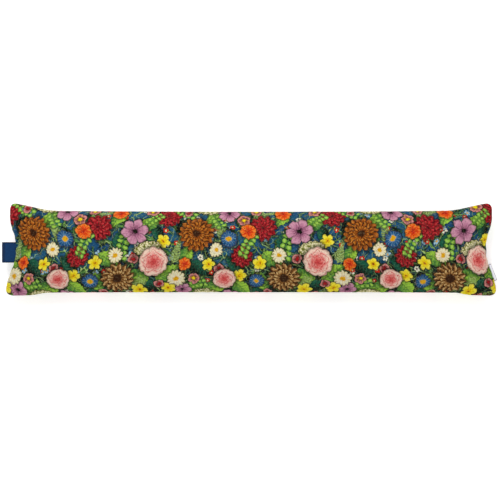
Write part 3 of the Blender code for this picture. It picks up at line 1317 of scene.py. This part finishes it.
FERNS = [
    (246, 44, 32, 115), (88, -66, 30, 215), (168, 6, 28, 75), (30, 76, 28, 20), (142, -84, 28, 185),
]
SPRIGS = [
    (66, 14, 30, 75), (180, 80, 26, 150), (298, 14, 26, 60),
    (200, -64, 26, 20), (122, 62, 24, 40), (240, 66, 26, 115),
]
ground = fern(ground, FERNS, OLIVE, PALE_GREEN)
print("ferns and sprigs", len(FERNS) + len(SPRIGS))

# %% [markdown]
# ## Flowers with rings of petals
# The red, rust and tan blooms have many narrow petals in rings. Cutting the distance from the
# middle into whole steps gives the rings, and turning every other ring by half a petal sets
# its petals in the gaps of the last.


# %% Flowers with rings of narrow petals
def ringed(under, chart, petals, rings, outline_depth, dark, middle, light, heart, heart_size):
    """Rings of narrow petals, as a dahlia or a chrysanthemum has.

    The distance from the middle is cut into rings; in every other ring the petals stand
    between those of the last. Each petal is dark at its root and light along its middle.
    """
    size, angle = nearest_polar(chart)
    distance, _ = round_petals(size, angle, petals, outline_depth, 0.8)
    rank = distance * rings + brush * 0.8
    ring = rank.math("FLOOR")
    root = rank - ring
    petal = abs((angle * (petals / 2) + ring * (math.pi / 2) + brush * 2).math("COSINE"))
    light_share = petal.step(0.05, 0.95) * (root * 0.8 + 0.15) + rays(angle, 7.0) * 0.7
    colour = light_share.ramp((0.0, dark), (0.45, middle), (0.95, light))
    return laid_over(under, distance, with_heart(colour, size, heart, heart_size))


RUST_BLOOMS = [(204, 34, 33, 12)]
TAN_BLOOMS = [(60, -50, 31, 40)]
RED_BLOOMS = [(22, 46, 26, 0), (152, 72, 25, 30), (288, -8, 20, 10)]
DAISIES = [(168, -50, 17, 5), (52, -6, 14, 20), (240, 4, 13, 12)]
BLUE_DAISIES = [(264, 24, 16, 9), (10, -56, 15, 3)]

# Chart, petals in a ring, rings, depth of the outline, dark, middle, light, heart, its size
RINGED_BLOOMS = [
    (RED_BLOOMS, 11, 3.2, 0.20, WINE, RED, ROSE, WINE, 0.12),
    (RUST_BLOOMS, 17, 3.6, 0.16, BROWN, RUST, HONEY, BROWN, 0.20),
    (TAN_BLOOMS, 15, 2.8, 0.22, BROWN, UMBER, TAN, BROWN, 0.28),
]
for bloom in RINGED_BLOOMS:
    ground = ringed(ground, *bloom)
ground = sprig(ground, SPRIGS, LEAF_GREEN, LIME)
print("with ringed blooms", len(cover_tree.nodes), "nodes")

# %% [markdown]
# ## Open flowers
# Daisies, lilac flowers, small yellow ones and the rest have one ring of round petals. A ramp
# on the distance from the middle gives root, petal and tip their colours, and streaks that are
# read from the angle alone run out along the petals.


# %% Open flowers
def open_flower(under, chart, count, depth, root, petal, tip, heart, heart_size):
    """One ring of round petals with fine streaks, a dark fold between petals, and a heart."""
    size, angle = nearest_polar(chart)
    distance, lobe = round_petals(size, angle, count, depth)
    colour = (distance + rays(angle, 9.0) * 0.9 + brush * 0.3 - 0.15).ramp(
        (0.12, root), (0.45, petal), (0.95, tip)
    )
    colour = (lobe.step(0.34, 0.0) * 0.8).mix(colour, root)
    return laid_over(under, distance, with_heart(colour, size, heart, heart_size))


LILAC_FLOWERS = [(90, 38, 25, 10), (264, 80, 21, 40), (178, -76, 17, 0)]
YELLOW_FLOWERS = [
    (16, -20, 13, 20), (142, 20, 13, 50), (226, -22, 12, 5), (98, -76, 15, 70), (284, -44, 13, 0),
    (152, -72, 14, 30),
]
PANSIES = [(120, 84, 12, 0), (292, 62, 12, 30), (200, -50, 11, 60), (10, 84, 11, 10)]
HIPS = [(86, -12, 9, 0), (188, 80, 8, 90), (246, -30, 9, 40), (136, -62, 9, 20), (30, -84, 9, 80)]

# Chart, petals, depth of the outline, root, petal, tip, heart, and the heart's size
OPEN_FLOWERS = [
    (LILAC_FLOWERS, 6, 0.34, PLUM, LILAC, PALE_LILAC, NIGHT, 0.18),
    (DAISIES, 13, 0.30, GOLD, WHITE, CREAM, GOLD, 0.30),
    (BLUE_DAISIES, 15, 0.18, SKY, CORNFLOWER, BLUE, GOLD, 0.32),
    (YELLOW_FLOWERS, 5, 0.46, GOLD, YELLOW, PALE_YELLOW, RUST, 0.12),
    (PANSIES, 5, 0.28, GOLD, PLUM, PINK, YELLOW, 0.24),
    (HIPS, 2, 0.16, WINE, WINE, PINK, RED, 0.35),
]
for flower in OPEN_FLOWERS:
    ground = open_flower(ground, *flower)
print("with open flowers", len(cover_tree.nodes), "nodes")

# %% [markdown]
# ## Full blooms on top
# The pink rosette has scalloped folds, from the fraction of a distance that a cosine of the
# angle pushes in and out. The orange one is frilled, which is little more than strong streaks.
# The cream head is a mass of florets, drawn with the cells of a fine Voronoi texture.


# %% The rosette
def rosette(under, chart):
    """A full bloom: its rings of petals have scalloped edges, dark below and pale above."""
    size, angle = nearest_polar(chart)
    distance, _ = round_petals(size, angle, 9, 0.08)
    turn_by_ring = (distance * 3.4).math("FLOOR") * 2.1
    scallop = abs((angle * 2.5 + turn_by_ring).math("COSINE"))
    fold = (distance * 3.4 + scallop * 0.7 + brush * 0.5).math("FRACT")
    colour = (distance + (fold - 0.5) * 0.35 + rays(angle, 8.0) * 0.3).ramp(
        (0.05, CRIMSON), (0.3, CORAL), (0.55, PINK), (0.82, BLUSH)
    )
    colour = (fold.step(0.26, 0.0) * 0.75).mix(colour, CRIMSON)
    return laid_over(under, distance, colour)


ROSETTES = [(124, -18, 27, 10), (256, -52, 21, 80)]
print("rosettes", len(ROSETTES))


# %% Frilled flowers and clusters
def frilled(under, chart):
    """A frilled orange bloom: streaks and noise out from the middle, over a wavy outline."""
    size, angle = nearest_polar(chart)
    distance, _ = round_petals(size, angle, 8, 0.16)
    colour = (distance * 0.6 + rays(angle, 6.0) * 1.6 + brush * 0.5).ramp(
        (0.1, WINE), (0.4, SCARLET), (0.72, ORANGE), (1.0, APRICOT)
    )
    return laid_over(under, distance, colour)


def cluster(under, chart):
    """A flat head of tiny cream flowers, drawn with a fine Voronoi texture."""
    x, y = nearest_axes(chart)
    y = y * 1.9
    size = (x * x + y * y).math("SQRT")
    distance, _ = round_petals(size, y.math("ARCTAN2", x), 12, 0.14)
    floret = place.node(
        "ShaderNodeTexVoronoi", {"voronoi_dimensions": "2D"}, {"Vector": place, "Scale": 1 / 3.6}
    )
    colour = (floret + distance * 0.2 + brush * 0.4).ramp((0.3, WHITE), (0.6, CREAM), (1.0, OLIVE))
    return laid_over(under, distance, colour)


MARIGOLDS = [(60, 78, 15, 0), (182, -22, 12, 50), (300, 38, 15, 0)]
CLUSTERS = [(112, 6, 25, 12), (222, -88, 25, 350)]

ground = cluster(ground, CLUSTERS)
ground = frilled(ground, MARIGOLDS)
ground = rosette(ground, ROSETTES)
print("print", len(cover_tree.nodes), "nodes")

# %% [markdown]
# ## Engraver's shading
# Old plates are shaded with fine strokes all over, dark in the hollows and light on the
# ridges. Another part of the brush noise gives both, laid over the whole print.

# %% Fine shading over the whole print
DARK_STROKES = 0.30
LIGHT_STROKES = 0.07

stroke = Wire(cover_tree, brush.socket.node.outputs["Color"]).dot((0, 1, 0))
engraved = (stroke.step(0.46, 0.32) * DARK_STROKES).mix(ground, NIGHT)
engraved = (stroke.step(0.56, 0.72) * LIGHT_STROKES).mix(engraved, CREAM)
print("engraved", len(cover_tree.nodes), "nodes")

# %% [markdown]
# ## The cotton under the print
# The cover is a plain weave: each thread goes over one and under the next, so the surface is
# a chequer of small bumps, the product of two sines. Threads are never even, which leaves
# faint streaks both ways, where some of the bare yarn shows through the ink. Beside the seam
# the stitches leave a row of dimples and a dark line of shadow.

# %% Threads and weave
WEAVE_PITCH = 0.8
SLUB_LENGTH = 13.0
SLUB_WIDTH = 1.3
WORN_SHARE = 0.09
LOW_SHADE = 0.10
WEAVE_SHADE = 0.06


def wave(value, pitch):
    """A sine of a length in millimetres."""
    return (value * (2 * math.pi / pitch)).math("SINE")


slub = SLUB_WIDTH / SLUB_LENGTH
threads = noise(drawn_place.vector("MULTIPLY", (slub, 1, 0)), SLUB_WIDTH)
threads = threads + noise(drawn_place.vector("MULTIPLY", (1, slub, 0)), SLUB_WIDTH)
cloth_x, cloth_y = drawn_place.parts()
weave = wave(cloth_x, WEAVE_PITCH) * wave(cloth_y, WEAVE_PITCH)
worn = ((threads - 1.0) * WORN_SHARE).math("MAXIMUM", 0.0)
printed = worn.mix((low_half * LOW_SHADE).mix(engraved, NIGHT), CREAM)
printed = (weave * WEAVE_SHADE + WEAVE_SHADE).mix(printed, NIGHT)
print("threads every", WEAVE_PITCH / 2, "mm")

# %% The seam's stitches, and the finished cotton
STITCH_PITCH = 3.2
STITCH_REACH = 3.0
SEAM_LINE = 1.6
SEAM_SHADE = 0.65
THREAD_RELIEF = 0.5
WEAVE_RELIEF = 0.28
STITCH_RELIEF = 0.5

seam_node = cover_tree.nodes.new("ShaderNodeAttribute")
seam_node.attribute_name = "from_seam"
from_seam = Wire(cover_tree, seam_node.outputs["Fac"])
stitches = wave(cloth_x, STITCH_PITCH) + wave(cloth_y, STITCH_PITCH)
dimples = stitches * from_seam.step(STITCH_REACH, 0.5)
relief = threads * THREAD_RELIEF + weave * WEAVE_RELIEF + dimples * STITCH_RELIEF
cover_bump = relief.bump(0.6, 0.5 * MM)
printed = (from_seam.step(SEAM_LINE, 0.2) * SEAM_SHADE).mix(printed, NIGHT)
cover_shader.inputs["Sheen Weight"].default_value = 0.005
wear(cover, cover_material, cover_shader, printed, cover_bump, roughness=0.85, specular=0.03)
print("flowered cotton", len(cover_tree.nodes), "nodes")

# %% [markdown]
# ## Webbing
# Webbing is woven narrow and thick, with ribs across it and a firm edge on each side where the
# weft turns back. Its map runs along the strip and across it, so ribs and edges follow the
# webbing round its fold. Its colour holds painted shade: light and dark along the ribs, darker
# at the edges, partly the selvedge itself, and darker where it is folded.

# %% The tab's webbing
RIB_PITCH = 1.1
RIB_COLUMNS = 2.1
SELVEDGE = 2.0
EDGE_SHADE = 0.75
FOLD_SHADE = 0.55
FOLD_REACH = (6.5, 3.0)
NAVY_LOW = paint(6, 44, 84)
NAVY_HIGH = paint(14, 66, 118)
NAVY_DARK = paint(3, 20, 44)

tab_material, tab_tree, tab_shader = new_finish("navy_webbing")
tab_cloth = cloth_millimetres(tab_tree, "cloth")
tab_run, tab_across = tab_cloth.parts()
inner_edge = tab_half_width / MM - SELVEDGE
edge = abs(tab_across).step(inner_edge - 0.5, inner_edge)
tip = abs(tab_run - tab_length / MM / 2).step(*FOLD_REACH)
ribs = wave(tab_run, RIB_PITCH)
columns = wave(tab_across, RIB_COLUMNS)
fuzz = noise(tab_cloth, 2.5)
# painted shade along the ribs and columns, over a random tone of the webbing
rib_shade_and_tone = (ribs * 0.2 + columns * 0.15 + fuzz * 0.9).step(0.0, 1.0)
webbing = rib_shade_and_tone.mix(NAVY_LOW, NAVY_HIGH)
# painted shade: darker at the edges, partly the selvedge itself, and darker towards the fold
webbing = (edge * EDGE_SHADE).math("MAXIMUM", tip * FOLD_SHADE).mix(webbing, NAVY_DARK)
ridges = ribs * 0.6 + columns * 0.4 + edge * 0.8
tab_bump = ridges.bump(0.7, 0.3 * MM)
wear(tab, tab_material, tab_shader, webbing, tab_bump, roughness=0.7, specular=0.2)
print("navy webbing", len(tab_tree.nodes), "nodes")

# %% [markdown]
# ## Satin tape
# The label is a smooth satin tape, blank and off-white. A pale grey line is painted along its
# folded edge and its cut ends: painted shade where the tape turns round, and partly the pressed
# edge of the tape itself.

# %% The label's tape
SATIN_PITCH = 0.5
SATIN_PITCH_ACROSS = 0.9
FOLD_LINE = (3.4, 2.2)
END_LINE = (2.4, 1.4)
TAPE_WHITE = paint(234, 234, 240)
TAPE_GREY = paint(164, 160, 170)

label_material, label_tree, label_shader = new_finish("white_satin_tape")
label_run, label_across = cloth_millimetres(label_tree, "cloth").parts()
half_tape = label_width / MM / 2
near_fold = abs(label_run - label_length / MM / 2).step(*FOLD_LINE)
near_end = abs(label_across).step(half_tape - END_LINE[0], half_tape - END_LINE[1])
satin = wave(label_run, SATIN_PITCH) * 0.5 + wave(label_across, SATIN_PITCH_ACROSS) * 0.3
# painted shade in a pale grey line along the fold and the cut ends, partly the tape's pressed edge
tape = near_fold.math("MAXIMUM", near_end).mix(TAPE_WHITE, TAPE_GREY)
label_bump = satin.bump(0.3, 0.1 * MM)
wear(label, label_material, label_shader, tape, label_bump, roughness=0.5, specular=0.3)
print("white satin tape", len(label_tree.nodes), "nodes")

# %% [markdown]
# ## The floor
# The cushion is shown on a white ground with hardly a shadow. It lies on its back here, so the
# ground is a floor just under it. A little emission fills the shadow beside the cushion, as
# light from a white studio table does.

# %% Floor
FLOOR_SIZE = 12.0
FLOOR_DROP = 0.2 * MM
FLOOR_GREY = 0.93
FLOOR_GLOW = 0.40

floor_corners = np.array([(-1, -1, 0), (1, -1, 0), (1, 1, 0), (-1, 1, 0)]) * FLOOR_SIZE / 2
floor = mesh_object("floor", floor_corners - (0, 0, FLOOR_DROP), [(0, 1, 2, 3)])
floor_material, _, floor_shader = new_finish("white_floor")
floor_shader.inputs["Base Color"].default_value = (FLOOR_GREY, FLOOR_GREY, FLOOR_GREY, 1)
floor_shader.inputs["Roughness"].default_value = 0.9
floor_shader.inputs["Emission Color"].default_value = (1, 1, 1, 1)
floor_shader.inputs["Emission Strength"].default_value = FLOOR_GLOW
floor.data.materials.append(floor_material)
print("floor", FLOOR_SIZE, "m square")

# %% [markdown]
# ## The light
# The light is soft and comes from nearly everywhere: a white world, a large lamp behind the
# upper long edge, and a weaker one on the other side to open the shadows.

# %% Light
WORLD_LIGHT = 0.66

world = bpy.data.worlds.new("studio")
bpy.context.scene.world = world
world.use_nodes = True
world.node_tree.nodes["Background"].inputs["Color"].default_value = (1, 1, 1, 1)
world.node_tree.nodes["Background"].inputs["Strength"].default_value = WORLD_LIGHT


def area_light(name, spot, size, watts):
    """A square soft light that points at the middle of the floor."""
    light = bpy.data.lights.new(name, "AREA")
    light.size = size
    light.energy = watts
    lamp = bpy.data.objects.new(name, light)
    bpy.context.scene.collection.objects.link(lamp)
    lamp.location = spot
    lamp.rotation_mode = "QUATERNION"
    lamp.rotation_quaternion = (-Vector(spot)).to_track_quat("-Z", "Y")
    return lamp


key = area_light("key", (-0.5, 1.4, 1.9), 0.9, 22)
fill = area_light("fill", (0.4, -1.2, 2.2), 1.8, 8)
print("key", key.data.energy, "W, fill", fill.data.energy, "W")

# %% [markdown]
# ## The camera
# The photograph looks square at the printed face, so the camera looks straight down, with a
# long lens that keeps the ends undistorted. One pixel is the size that the webbing gave.

# %% Camera
PHOTO_SIDE = 500
METRES_PER_PIXEL = 1.853 * MM
MIDDLE_PIXEL = (251.0, 252.0)
LENS = 100.0
SENSOR = 36.0

camera_data = bpy.data.cameras.new("camera")
camera_data.lens = LENS
camera_data.sensor_width = SENSOR
camera = bpy.data.objects.new("camera", camera_data)
bpy.context.scene.collection.objects.link(camera)
camera_distance = PHOTO_SIDE * METRES_PER_PIXEL * LENS / SENSOR
camera.location = (
    (PHOTO_SIDE / 2 - MIDDLE_PIXEL[0]) * METRES_PER_PIXEL,
    (MIDDLE_PIXEL[1] - PHOTO_SIDE / 2) * METRES_PER_PIXEL,
    SEAM_HEIGHT + camera_distance,
)
bpy.context.scene.camera = camera
bpy.context.scene.view_settings.view_transform = "Standard"
print("camera", round(camera_distance, 2), "m above the seam")

# %% [markdown]
# ## Each piece on its body
# Each piece moves with the root body, and the solid of the model that it takes the place of
# is hidden.

# %% Each piece on its body, and its solid hidden
for piece, node, finish in (
    (cover, "cover_cushion", "printed_cotton"),
    (tab, "hang_tab", "navy_webbing"),
    (label, "care_label", "white_tape"),
):
    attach(piece, "root")
    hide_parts(node)
print("pieces", cover.name, tab.name, label.name)
